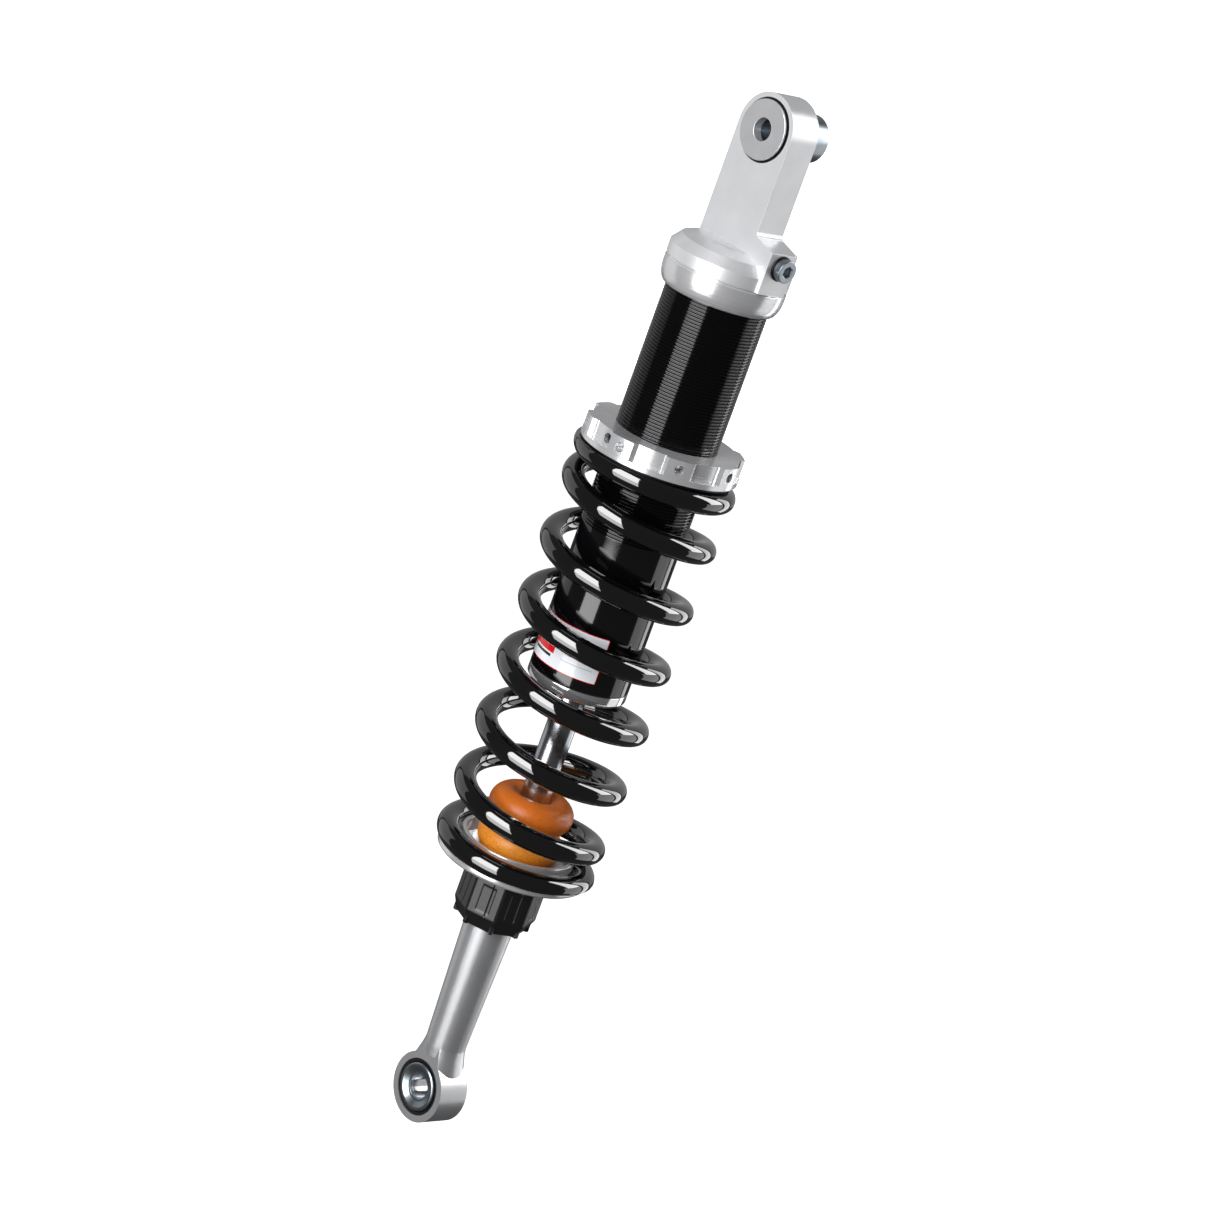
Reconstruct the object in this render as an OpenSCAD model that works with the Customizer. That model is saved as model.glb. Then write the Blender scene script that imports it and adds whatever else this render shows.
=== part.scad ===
// Coil-over rear shock: monotube damper, threaded spring preload, rebound adjuster at the lower end.
// Millimetres. Origin at the lower bolt centre, +Z towards the upper bolt, both bolts along Y.

/* [Overall] */
// Distance between the two bolt centres at full extension
eye_to_eye = 480; // [474:1:486]
// Stroke of the piston rod
travel = 65; // [50:1:66]

/* [Upper head] */
// Width of the upper arm
arm_w = 33.4; // [32:0.2:36]
// Thickness of the upper arm
arm_t = 16.4; // [16:0.2:18]
// Radius of the head flange and its lock ring
head_r = 28.3; // [28:0.1:29]
// Radius of the upper bolt's bore
upper_bolt_r = 5.1; // [4.1:0.1:6]
// How far the rear spacer stands out along the bolt
rear_spacer_end = 22.5; // [14:0.5:26]

/* [Tube] */
// Crest radius of the threaded length of the tube
thread_r = 23.9; // [23.8:0.05:24]
// Radius of the smooth lower length of the tube
tube_r = 23.6; // [23.2:0.1:23.7]
// Inner radius of the tube, in which the pistons run
tube_bore_r = 20; // [19:0.5:20.5]
// Height of the tube's lower end
tube_end_z = 216.3; // [214:0.1:218]
// Height where the thread begins
thread_end_z = 287.3; // [280:0.1:292]

/* [Spring and preload] */
// Radius of the coil's centre line
coil_r = 34; // [33.5:0.1:34.5]
// Radius of the spring wire
wire_r = 5.25; // [4.5:0.05:5.5]
// Height of the preload ring's underside
ring_z = 325.4; // [322:0.1:330]
// Height of the preload ring
ring_h = 10.6; // [9:0.1:13]
// Outer radius of the preload ring
ring_r = 37; // [36:0.1:38]
// Number of lobes on the preload ring
ring_lobes = 8; // [6, 8, 10]

/* [Rod and lower end] */
// Radius of the piston rod
rod_r = 7; // [6:0.5:7]
// Height of the face that the spring stands on
seat_z = 123.5; // [122:0.1:125]
// Outer radius of the lower spring seat
seat_r = 36.5; // [35:0.1:39]
// Radius of the lower eye
eye_r = 16.9; // [16.5:0.1:18]
// Thickness of the lower eye
eye_t = 16.6; // [16.4:0.1:18]
// Radius of the lower bolt's bore
lower_bolt_r = 6.05; // [5:0.05:6.5]
// Circumscribed radius of the rebound knob
knob_r = 20; // [19.5:0.1:21]

/* [Hidden] */
$fn = 64;

fit = 0.05;        // radial clearance of a running fit
gap = 0.35;        // clearance between parts that pass without touching
eps = 0.01;        // overrun of a cut past the face it opens

// Head
flange_z = eye_to_eye - 65;
flange_top_z = flange_z + 6;
shoulder_z = flange_top_z + 4.5;
shoulder_r = 24.6;
crown_z = flange_z + 13.5;
crown_r = 17;
lock_ring_z = flange_z - 12.5;
tube_top_z = flange_z + 3;
plug_z = tube_top_z - 10;
plug_r = tube_bore_r - fit;
head_groove_z = plug_z + 4;
boss_x = 29.2;
boss_edge_z = flange_z + 19;
boss_top_z = flange_z + 22.4;
boss_fillet = 2.4;
valve_z = flange_z + 12.8;
valve_r = 5.1;
valve_face_x = 34;
valve_shank_r = 3;
valve_shank = 9;
valve_socket_r = 2.7;
valve_socket = 2.5;
gas_way_x = 12;
gas_way_r = 2;
washer_t = 1;
edge = 0.4;        // chamfer of a turned edge

// Bearings: each eye holds a ball in a race, two circlips, two seals and two spacers
race_half = 4.5;
ball_half = 5.3;
upper_ball_r = 9.5;
lower_ball_r = 10.2;
race_r = 12.5;
clip_t = 1.1;
clip_groove_r = race_r + 0.7;
seal_floor = 6.1;
clip_w = 1.6;                // how far a circlip stands out of its groove
clip_opening = 5;
upper_seal_r = 14.4;
upper_seal_bore_r = 11.6;
lower_seal_r = 13.6;
lower_seal_bore_r = 12;
lower_seal_inset = 0.3;
spacer_flange_r = 13.4;
rear_spacer_r = 10.75;
spacer_sleeve_r = 7.4;
spacer_flange_t = 1.2;
rear_chamfer = 0.8;
lower_bush_r = 11.6;
bush_hub_r = 8.2;
bush_proud = 0.7;
bush_dish = 1.6;
bush_rim = 1.8;

// Damper internals
seal_face_z = tube_end_z + 5.7;
guide_h = 24;
guide_top_z = seal_face_z + guide_h;
guide_bush_t = 2;
guide_bush_h = 13;
guide_oring_z = seal_face_z + 9;
guide_clip_w = 1.2;
rod_seal_t = 4.5;
rod_seal_h = 6;
wiper_r = rod_r + 3.4;
end_ring_h = 5.3;
ring_depth = 2;              // depth of an O-ring's groove
oring_h = 3;
top_out_z = guide_top_z + gap;
piston_z = guide_top_z + 10;
piston_h = 18;
port_pitch_r = 11.5;
port_r = 2;
band_depth = 1.6;
band_h = 10;
shims_h = 1.8;
shim_r = 15.5;
spigot_r = 5;
nut_h = 8;
nut_r = 9.8;
bumper_r = 13;
cross_hole_r = 1.2;
nut_z = piston_z + piston_h + shims_h;
thread_stub = 2;
float_z = nut_z + nut_h + thread_stub + travel + 17.2;
float_h = 18;
float_wall = 5;
float_seal_z = float_z + 3;
float_band_z = float_z + 9;
float_band_h = 5;
piston_gap = 0.3;            // radial clearance of a piston behind its band
needle_r = 1.8;
needle_head_r = 4;

// Preload and spring
washer_r = 36;
preload_washer_t = 1.2;
spring_top_z = ring_z - preload_washer_t;
lip_h = 2.4;
scallop_r = 34.6;
lobe_angle = 16;
root_angle = 24;
lobe_turn = 14;
hole_r = 2.3;
hole_depth = 7;
hole_z = ring_z + ring_h / 2 + 1;
lock_screw_turn = -91.5;
lock_screw_l = 7;
lock_screw_socket_r = 1.4;
dead_rise = wire_r;          // fall of the closed end coils in half a turn
half_turns = 13;             // half turns between the two closed ends
coil_start = -1.7;           // tips of the wire, in half turns
coil_stop = 14.6;
coil_turn = 42.8;            // direction of half turn 0
coil_high = spring_top_z - 7.2;
coil_low = seat_z + 5.4;
live_rise = (coil_high - coil_low - dead_rise) / (half_turns - 1);
rings_per_half = 11;
wire_sides = 8;

// Lower end
neck_r = 10.5;
neck_top_z = seat_z - 1.5;
spigot_z = neck_top_z - 12;
shaft_top_z = 92;
shaft_top_r = 12.1;
shaft_low_r = 9.9;
shaft_low_z = 24;
shaft_foot_r = 9.4;
flare_z = 12;
flare_r = 12.6;
needle_bore_r = 4.3;
seat_floor_t = 3.7;
seat_wall_r = 27.4;
seat_wall_t = 2;
seat_wall_h = 7.5;
collar_z = 115.6;
collar_r = 16.5;
knob_z = 89.3;
knob_rim_z = 96.5;
knob_foot_r = 16.8;
knob_turn = 4;
knob_mouth_z = 96;
detent_seat_x = 6.4;
pin_z = 102;
pin_r = 1.5;
needle_travel = 3;
cam_r = 13.6;
detent_z = 111.8;
detent_r = 1.5;
detent_reach = 0.55;         // height of the ball's centre below the neck's surface
bump_z = seat_z + 0.5;
bump_r = 20.4;
bump_h = 32;
bump_lip = 3;
label_turn = -134;
label_sweep = 106;
label_z = tube_end_z + 5.4;
label_h = 22.2;
label_t = 0.12;

// shared shapes

// A ring or disc about Z
module ring(outer, inner, low, high) {
    translate([0, 0, low])
    difference() {
        cylinder(r = outer, h = high - low);
        translate([0, 0, -eps]) cylinder(r = inner, h = high - low + 2 * eps);
    }
}

// A cylinder along Y from near to far, at height z
module y_rod(r, near, far, z) {
    translate([0, near, z]) rotate([-90, 0, 0]) cylinder(r = r, h = far - near);
}

// A ring along Y from near to far, at height z
module y_ring(outer, inner, near, far, z) {
    difference() {
        y_rod(outer, near, far, z);
        y_rod(inner, near - eps, far + eps, z);
    }
}

// Bore of an eye, with a circlip groove and a seal pocket at both faces
module eye_bore(seal_r, half, z) {
    y_rod(race_r, -half - 1, half + 1, z);
    y_rod(clip_groove_r, -race_half - clip_t, race_half + clip_t, z);
    for (side = [-1, 1]) {
        middle = side * (seal_floor + half + 1) / 2;
        reach = (half + 1 - seal_floor) / 2;
        y_rod(seal_r, middle - reach, middle + reach, z);
    }
}

// Revolves a flat outline about Y instead of Z, at height z
module about_y(z) {
    translate([0, 0, z]) rotate([-90, 0, 0]) rotate_extrude() children();
}

module bearing_race(ball_r, z) {
    color("gray") about_y(z) difference() {
        translate([0, -race_half]) square([race_r, 2 * race_half]);
        circle(r = ball_r + fit);
    }
}

module bearing_ball(ball_r, bolt_r, z) {
    color("lightgray") about_y(z) intersection() {
        circle(r = ball_r);
        translate([bolt_r, -ball_half]) square([ball_r, 2 * ball_half]);
    }
}

// Two open rings, one on each side of the race
module circlip_pair(z) {
    for (side = [-1, 1]) {
        near = side > 0 ? race_half : -race_half - clip_t;
        difference() {
            y_ring(clip_groove_r, race_r - clip_w, near, near + clip_t, z);
            translate([-clip_opening / 2, near - 1, z - clip_groove_r - 1])
                cube([clip_opening, clip_t + 2, clip_opening]);
        }
    }
}

// Copies about Z
module around(count, turn) {
    for (i = [0 : count - 1])
        rotate([0, 0, turn + i * 360 / count]) children();
}

// head and tube

module arm_blank() {
    rotate([90, 0, 0])
    linear_extrude(height = arm_t, center = true) {
        translate([0, eye_to_eye]) circle(r = arm_w / 2);
        translate([-arm_w / 2, flange_top_z]) square([arm_w, eye_to_eye - flange_top_z]);
    }
}

module valve_boss() {
    rotate([90, 0, 0])
    linear_extrude(height = arm_t, center = true) {
        polygon([
            [gas_way_x, flange_z], [boss_x, flange_z], [boss_x, boss_edge_z],
            [arm_w / 2, boss_top_z], [gas_way_x, boss_top_z]
        ]);
        translate([arm_w / 2, boss_top_z]) difference() {
            translate([-1, -0.5]) square([boss_fillet, boss_fillet]);
            translate([boss_fillet, boss_fillet - 0.4]) circle(r = boss_fillet);
        }
    }
}

module upper_head() {
    color("silver")
    difference() {
        union() {
            rotate_extrude() polygon([
                [0, plug_z], [plug_r, plug_z], [plug_r, tube_top_z], [thread_r + fit, tube_top_z],
                [thread_r + fit, flange_z], [head_r - edge, flange_z], [head_r, flange_z + edge],
                [head_r, flange_top_z], [shoulder_r, shoulder_z], [crown_r, crown_z], [0, crown_z]
            ]);
            arm_blank();
            valve_boss();
        }
        eye_bore(upper_seal_r, arm_t / 2, eye_to_eye);
        translate([gas_way_x, 0, valve_z]) rotate([0, 90, 0])
            cylinder(r = valve_shank_r, h = boss_x);
        translate([gas_way_x, 0, plug_z - 1]) cylinder(r = gas_way_r, h = valve_z - plug_z + 1);
        ring(plug_r + 1, plug_r - ring_depth, head_groove_z, head_groove_z + oring_h);
        ring(thread_r + fit, plug_r, lock_ring_z, tube_top_z);
    }
}

module head_lock_ring() {
    color("silver")
    rotate_extrude() polygon([
        [thread_r + fit, lock_ring_z], [head_r - 3.6, lock_ring_z], [head_r - 1, lock_ring_z + 4.5],
        [head_r, lock_ring_z + 8.5], [head_r, flange_z - edge], [head_r - edge, flange_z],
        [thread_r + fit, flange_z]
    ]);
}

module head_oring() {
    color("dimgray") ring(tube_bore_r, plug_r - ring_depth, head_groove_z, head_groove_z + oring_h);
}

module damper_tube() {
    color("black")
    rotate_extrude() polygon([
        [tube_bore_r, tube_end_z], [tube_r - 0.6, tube_end_z], [tube_r, tube_end_z + 0.6],
        [tube_r, thread_end_z - 0.3], [thread_r, thread_end_z], [thread_r, tube_top_z],
        [tube_bore_r, tube_top_z]
    ]);
}

module tube_end_ring() {
    color("silver")
    rotate_extrude() polygon([
        [wiper_r, tube_end_z - end_ring_h], [tube_r - 1, tube_end_z - end_ring_h],
        [tube_r, tube_end_z - end_ring_h + 1], [tube_r, tube_end_z],
        [tube_bore_r - fit, tube_end_z], [tube_bore_r - fit, seal_face_z], [wiper_r, seal_face_z]
    ]);
}

module body_label() {
    color("gainsboro")
    rotate([0, 0, label_turn])
    rotate_extrude(angle = label_sweep)
    translate([tube_r, label_z]) square([label_t, label_h]);
}

module rod_guide() {
    color("silver")
    difference() {
        ring(tube_bore_r - fit, rod_r + 1, seal_face_z, guide_top_z);
        translate([0, 0, seal_face_z - 1]) cylinder(r = rod_r + rod_seal_t, h = rod_seal_h + 1);
        translate([0, 0, guide_top_z - guide_bush_h - 1])
            cylinder(r = rod_r + guide_bush_t, h = guide_bush_h + 2);
        ring(tube_bore_r + 1, tube_bore_r - ring_depth, guide_oring_z, guide_oring_z + oring_h);
        ring(tube_bore_r + 1, tube_bore_r - guide_clip_w, guide_top_z - clip_t - 1, guide_top_z + 1);
    }
}

module guide_bush() {
    color("darkgoldenrod")
    ring(rod_r + guide_bush_t, rod_r + fit, guide_top_z - guide_bush_h - 1, guide_top_z - 1);
}

module guide_oring() {
    color("dimgray") ring(tube_bore_r, tube_bore_r - ring_depth, guide_oring_z, guide_oring_z + oring_h);
}

module guide_circlip() {
    color("gray")
    difference() {
        ring(tube_bore_r, tube_bore_r - guide_clip_w, guide_top_z - clip_t - 1, guide_top_z - 1);
        translate([0, -3, guide_top_z - 4]) cube([tube_bore_r + 1, 6, 5]);
    }
}

module rod_seal() {
    color("dimgray") ring(rod_r + rod_seal_t, rod_r + fit, seal_face_z, seal_face_z + rod_seal_h);
}

module rod_wiper() {
    color("dimgray")
    rotate_extrude() polygon([
        [rod_r + fit, tube_end_z - end_ring_h - 1], [rod_r + 1, tube_end_z - end_ring_h - 1],
        [wiper_r, tube_end_z - end_ring_h + 1.5], [wiper_r, tube_end_z],
        [rod_r + fit, tube_end_z]
    ]);
}

module gas_valve_screw() {
    color("silver")
    difference() {
        translate([0, 0, valve_z]) rotate([0, 90, 0]) union() {
            translate([0, 0, boss_x + washer_t])
                cylinder(r = valve_r, h = valve_face_x - boss_x - washer_t);
            translate([0, 0, boss_x - valve_shank])
                cylinder(r = valve_shank_r, h = valve_shank + washer_t + eps);
        }
        translate([valve_face_x - valve_socket, 0, valve_z]) rotate([0, 90, 0])
            cylinder(r = valve_socket_r, h = valve_socket + 1, $fn = 6);
    }
}

module gas_valve_washer() {
    color("gray")
    translate([boss_x, 0, valve_z]) rotate([0, 90, 0]) ring(valve_r + 0.6, valve_shank_r, 0, washer_t);
}

// upper bearing

module upper_race() {
    bearing_race(upper_ball_r, eye_to_eye);
}

module upper_circlips() {
    color("gray") circlip_pair(eye_to_eye);
}

module upper_front_seal() {
    color("dimgray") y_ring(upper_seal_r, upper_seal_bore_r, -arm_t / 2, -seal_floor, eye_to_eye);
}

module upper_rear_seal() {
    color("dimgray") y_ring(upper_seal_r, upper_seal_bore_r, seal_floor, arm_t / 2, eye_to_eye);
}

module upper_ball() {
    bearing_ball(upper_ball_r, upper_bolt_r, eye_to_eye);
}

module upper_front_spacer() {
    front = -arm_t / 2 - gap;
    color("silver")
    difference() {
        union() {
            y_rod(spacer_sleeve_r, front - eps, -ball_half, eye_to_eye);
            y_rod(spacer_flange_r, front - spacer_flange_t, front, eye_to_eye);
        }
        y_rod(upper_bolt_r, front - 2, 0, eye_to_eye);
    }
}

module upper_rear_spacer() {
    back = arm_t / 2 + gap;
    color("lightsteelblue")
    difference() {
        union() {
            y_rod(spacer_sleeve_r, ball_half, back + eps, eye_to_eye);
            y_rod(rear_spacer_r, back, rear_spacer_end - rear_chamfer, eye_to_eye);
            translate([0, rear_spacer_end - rear_chamfer, eye_to_eye]) rotate([-90, 0, 0])
                cylinder(r1 = rear_spacer_r, r2 = rear_spacer_r - rear_chamfer, h = rear_chamfer);
        }
        y_rod(upper_bolt_r, 0, rear_spacer_end + 1, eye_to_eye);
    }
}

// gas piston

module floating_piston() {
    color("silver")
    difference() {
        translate([0, 0, float_z]) cylinder(r = tube_bore_r - piston_gap, h = float_h);
        translate([0, 0, float_z + float_wall]) cylinder(r = tube_bore_r - float_wall, h = float_h);
        ring(tube_bore_r + 1, tube_bore_r - ring_depth, float_seal_z, float_seal_z + oring_h);
        ring(tube_bore_r + 1, tube_bore_r - band_depth, float_band_z, float_band_z + float_band_h);
    }
}

module floating_piston_seal() {
    color("dimgray") ring(tube_bore_r - fit, tube_bore_r - ring_depth, float_seal_z, float_seal_z + oring_h);
}

module floating_piston_band() {
    color("ivory")
    ring(tube_bore_r - fit, tube_bore_r - band_depth, float_band_z, float_band_z + float_band_h);
}

// preload and spring

// A lobe with sloping flanks
module lobe() {
    tip = ring_r * sin(lobe_angle / 2);
    root = scallop_r * sin(root_angle / 2);
    translate([0, 0, ring_z]) linear_extrude(height = ring_h) polygon([
        [scallop_r - 3, -root], [scallop_r, -root], [ring_r + 1, -tip],
        [ring_r + 1, tip], [scallop_r, root], [scallop_r - 3, root]
    ]);
}

module preload_ring() {
    color("silver")
    difference() {
        union() {
            ring(scallop_r, thread_r + fit, ring_z, ring_z + ring_h);
            ring(ring_r, thread_r + 2, ring_z, ring_z + lip_h);
            intersection() {
                ring(ring_r, scallop_r - 3, ring_z, ring_z + ring_h);
                around(ring_lobes, lobe_turn) lobe();
            }
        }
        around(ring_lobes, lobe_turn)
            translate([ring_r - hole_depth, 0, hole_z]) rotate([0, 90, 0])
            cylinder(r = hole_r, h = hole_depth + 1);
        rotate([0, 0, lock_screw_turn])
            translate([thread_r - 1, 0, hole_z]) rotate([0, 90, 0])
            cylinder(r = hole_r, h = scallop_r);
    }
}

module ring_lock_screw() {
    color("dimgray")
    rotate([0, 0, lock_screw_turn])
    translate([thread_r + 1.6, 0, hole_z]) rotate([0, 90, 0])
    difference() {
        cylinder(r = hole_r, h = lock_screw_l);
        translate([0, 0, lock_screw_l - 2.5]) cylinder(r = lock_screw_socket_r, h = 3, $fn = 6);
    }
}

module thrust_washer() {
    color("dimgray") ring(washer_r, thread_r + gap, ring_z - preload_washer_t, ring_z);
}

// Height of the wire's centre, k half turns below the reference turn: closed, opening, live, closing, closed
function coil_z(k) =
    k < 0 ? coil_high - dead_rise * k :
    k < 1 ? coil_high - dead_rise * k - (live_rise - dead_rise) * k * k / 2 :
    k < half_turns - 1 ? coil_high - (dead_rise + live_rise) / 2 - live_rise * (k - 1) :
    k < half_turns ? coil_low + dead_rise * (half_turns - k)
        + (live_rise - dead_rise) * (half_turns - k) * (half_turns - k) / 2 :
    coil_low - dead_rise * (k - half_turns);

// A point on the wire, with the two ends ground flat on the washer and the seat
function coil_point(k, a) =
    let (r = coil_r + wire_r * cos(a), t = coil_turn + 180 * k, z = coil_z(k) + wire_r * sin(a))
    [r * cos(t), r * sin(t), min(spring_top_z, max(seat_z, z))];

module spring() {
    steps = round((coil_stop - coil_start) * rings_per_half);
    points = [for (i = [0 : steps], j = [0 : wire_sides - 1])
        coil_point(coil_start + i * (coil_stop - coil_start) / steps, j * 360 / wire_sides)];
    walls = [for (i = [0 : steps - 1], j = [0 : wire_sides - 1])
        let (n = (j + 1) % wire_sides, a = i * wire_sides, b = a + wire_sides)
        [a + j, a + n, b + n, b + j]];
    first = [for (j = [0 : wire_sides - 1]) wire_sides - 1 - j];
    last = [for (j = [0 : wire_sides - 1]) steps * wire_sides + j];
    color("black") polyhedron(points = points, faces = concat(walls, [first, last]), convexity = 10);
}

// rod and piston

module piston_rod() {
    color("gainsboro")
    difference() {
        union() {
            translate([0, 0, spigot_z]) cylinder(r = spigot_r, h = nut_z + nut_h + thread_stub - spigot_z);
            translate([0, 0, neck_top_z]) cylinder(r = rod_r, h = piston_z - shims_h - neck_top_z);
        }
        translate([0, 0, spigot_z - 1]) cylinder(r = needle_r + 0.2, h = piston_z + 10 - spigot_z);
        y_rod(cross_hole_r, -rod_r - 1, rod_r + 1, piston_z - 5);
    }
}

module damping_piston() {
    color("silver")
    difference() {
        ring(tube_bore_r - piston_gap, spigot_r, piston_z, piston_z + piston_h);
        ring(tube_bore_r + 1, tube_bore_r - band_depth, piston_z + 4, piston_z + 4 + band_h);
        around(6, 0) translate([port_pitch_r, 0, piston_z - 1]) cylinder(r = port_r, h = piston_h + 2);
    }
}

module piston_band() {
    color("ivory") ring(tube_bore_r - fit, tube_bore_r - band_depth, piston_z + 4, piston_z + 4 + band_h);
}

// Thin discs, widest against the piston
module shim_stack(from, step) {
    for (i = [0 : 2])
        translate([0, 0, from + step * i * shims_h / 3])
            ring(shim_r - 2 * i, spigot_r, step > 0 ? 0 : -shims_h / 3, step > 0 ? shims_h / 3 : 0);
}

module rebound_shims() {
    color("gray") shim_stack(piston_z, -1);
}

module compression_shims() {
    color("gray") shim_stack(piston_z + piston_h, 1);
}

module piston_nut() {
    color("gray")
    difference() {
        translate([0, 0, nut_z]) cylinder(r = nut_r, h = nut_h, $fn = 6);
        translate([0, 0, nut_z - 1]) cylinder(r = spigot_r, h = nut_h + 2);
    }
}

module top_out_bumper() {
    color("dimgray") ring(bumper_r, rod_r, top_out_z, piston_z - shims_h - gap);
}

// Two soft lobes with a waist between them
module bump_stop() {
    lobe = bump_h / 4;
    color("darkorange")
    difference() {
        rotate_extrude() union() {
            for (level = [lobe, 3 * lobe])
                translate([bump_r - lobe, bump_z + level]) circle(r = lobe);
            translate([rod_r, bump_z]) square([bump_r - lobe - rod_r, bump_h]);
            translate([bump_r - lobe - eps, bump_z + lobe]) square([lobe - 2, bump_h / 2]);
        }
        translate([0, 0, bump_z - 1]) cylinder(r = rod_r + fit, h = bump_h + 2);
        translate([0, 0, bump_z + bump_h - bump_lip])
            cylinder(r1 = rod_r, r2 = rod_r + bump_lip, h = bump_lip + eps);
    }
}

// seat, knob and lower eye

module lower_spring_seat() {
    color("silver")
    rotate_extrude() polygon([
        [neck_r, seat_z - seat_floor_t], [seat_r - 1.5, seat_z - seat_floor_t],
        [seat_r, seat_z - seat_floor_t + 1.2], [seat_r, seat_z - 1], [seat_r - 1, seat_z],
        [seat_wall_r, seat_z], [seat_wall_r, seat_z + seat_wall_h - 0.8],
        [seat_wall_r - 0.8, seat_z + seat_wall_h],
        [seat_wall_r - seat_wall_t, seat_z + seat_wall_h], [seat_wall_r - seat_wall_t, seat_z],
        [neck_r, seat_z]
    ]);
}

module seat_collar() {
    color("gray") ring(collar_r, neck_r, collar_z, seat_z - seat_floor_t);
}

module rebound_knob() {
    color("black")
    difference() {
        intersection() {
            rotate([0, 0, knob_turn]) translate([0, 0, knob_z])
                cylinder(r = knob_r, h = collar_z - gap - knob_z, $fn = 8);
            rotate_extrude() polygon([
                [0, knob_z], [knob_foot_r, knob_z], [knob_r, knob_rim_z],
                [knob_r, collar_z - 2], [knob_r - 1, collar_z], [0, collar_z]
            ]);
        }
        translate([0, 0, knob_z - 1]) cylinder(r = shaft_top_r + gap, h = knob_mouth_z - knob_z + 1);
        translate([0, 0, knob_z]) cylinder(r = neck_r + fit, h = collar_z - knob_z);
        ring(cam_r, neck_r - 1, pin_z - pin_r - gap, pin_z + pin_r + needle_travel + gap);
        ring(neck_r + detent_r - detent_reach + gap, neck_r - 1, detent_z - 2, detent_z + 2);
        around(12, knob_turn) translate([neck_r + 0.6, 0, detent_z]) sphere(r = detent_r);
    }
}

module detent_ball() {
    color("lightgray")
    rotate([0, 0, knob_turn]) translate([neck_r - detent_reach, 0, detent_z]) sphere(r = detent_r);
}

module detent_spring() {
    color("gray")
    rotate([0, 0, knob_turn])
    translate([detent_seat_x, 0, detent_z]) rotate([0, 90, 0]) ring(detent_r - 0.3, 0.8, 0, 2);
}

module rebound_needle() {
    color("gainsboro")
    difference() {
        union() {
            translate([0, 0, pin_z - 3]) cylinder(r = needle_head_r, h = 5.5);
            translate([0, 0, pin_z]) cylinder(r = needle_r, h = piston_z - 1 - pin_z);
            translate([0, 0, piston_z - 1 - eps]) cylinder(r1 = needle_r, r2 = 0.5, h = 5);
        }
        translate([-needle_head_r - 1, 0, pin_z]) rotate([0, 90, 0])
            cylinder(r = pin_r, h = 2 * needle_head_r + 2);
    }
}

module adjuster_cross_pin() {
    color("gray")
    translate([1 - cam_r, 0, pin_z]) rotate([0, 90, 0]) cylinder(r = pin_r, h = 2 * (cam_r - 1));
}

module lower_eye_shaft() {
    color("silver")
    difference() {
        union() {
            y_rod(eye_r, -eye_t / 2, eye_t / 2, 0);
            intersection() {
                rotate_extrude() polygon([
                    [0, 0], [flare_r, 0], [flare_r, flare_z], [shaft_low_r + 0.6, shaft_low_z - 4],
                    [shaft_low_r, shaft_low_z], [0, shaft_low_z]
                ]);
                translate([-eye_r, -eye_t / 2, 0]) cube([2 * eye_r, eye_t, 60]);
            }
            translate([0, 0, shaft_low_z - 6]) cylinder(r1 = shaft_foot_r, r2 = shaft_low_r, h = 6);
            translate([0, 0, shaft_low_z])
                cylinder(r1 = shaft_low_r, r2 = shaft_top_r, h = shaft_top_z - shaft_low_z);
            translate([0, 0, shaft_top_z - 1]) cylinder(r = neck_r, h = neck_top_z - shaft_top_z + 1);
        }
        eye_bore(lower_seal_r, eye_t / 2, 0);
        translate([0, 0, pin_z - 7]) cylinder(r = needle_bore_r, h = spigot_z - pin_z + 7 + eps);
        translate([0, 0, spigot_z]) cylinder(r = spigot_r, h = neck_top_z);
        translate([-knob_r, -pin_r - fit, pin_z - pin_r - gap])
            cube([2 * knob_r, 2 * (pin_r + fit), 2 * pin_r + needle_travel + 2 * gap]);
        rotate([0, 0, knob_turn]) translate([detent_seat_x, 0, detent_z]) rotate([0, 90, 0])
            cylinder(r = detent_r + fit, h = neck_r);
    }
}

module lower_race() {
    bearing_race(lower_ball_r, 0);
}

module lower_circlips() {
    color("gray") circlip_pair(0);
}

module lower_front_seal() {
    color("dimgray")
    y_ring(lower_seal_r, lower_seal_bore_r, -eye_t / 2 + lower_seal_inset, -seal_floor, 0);
}

module lower_rear_seal() {
    color("dimgray")
    y_ring(lower_seal_r, lower_seal_bore_r, seal_floor, eye_t / 2 - lower_seal_inset, 0);
}

module lower_ball() {
    bearing_ball(lower_ball_r, lower_bolt_r, 0);
}

// Steel bush with a dished outer face; side is -1 in front and 1 behind
module bush(side) {
    face = eye_t / 2 + bush_proud;
    inner_z = seal_floor + edge;
    color("lightsteelblue")
    rotate([-90 * side, 0, 0])
    rotate_extrude() polygon([
        [lower_bolt_r, ball_half], [bush_hub_r, ball_half], [bush_hub_r, inner_z],
        [lower_bush_r, inner_z], [lower_bush_r, face - bush_proud], [lower_bush_r - bush_proud, face],
        [lower_bush_r - bush_rim, face], [lower_bolt_r + 1, face - bush_dish],
        [lower_bolt_r, face - bush_dish]
    ]);
}

module lower_front_bush() {
    bush(-1);
}

module lower_rear_bush() {
    bush(1);
}

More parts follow.
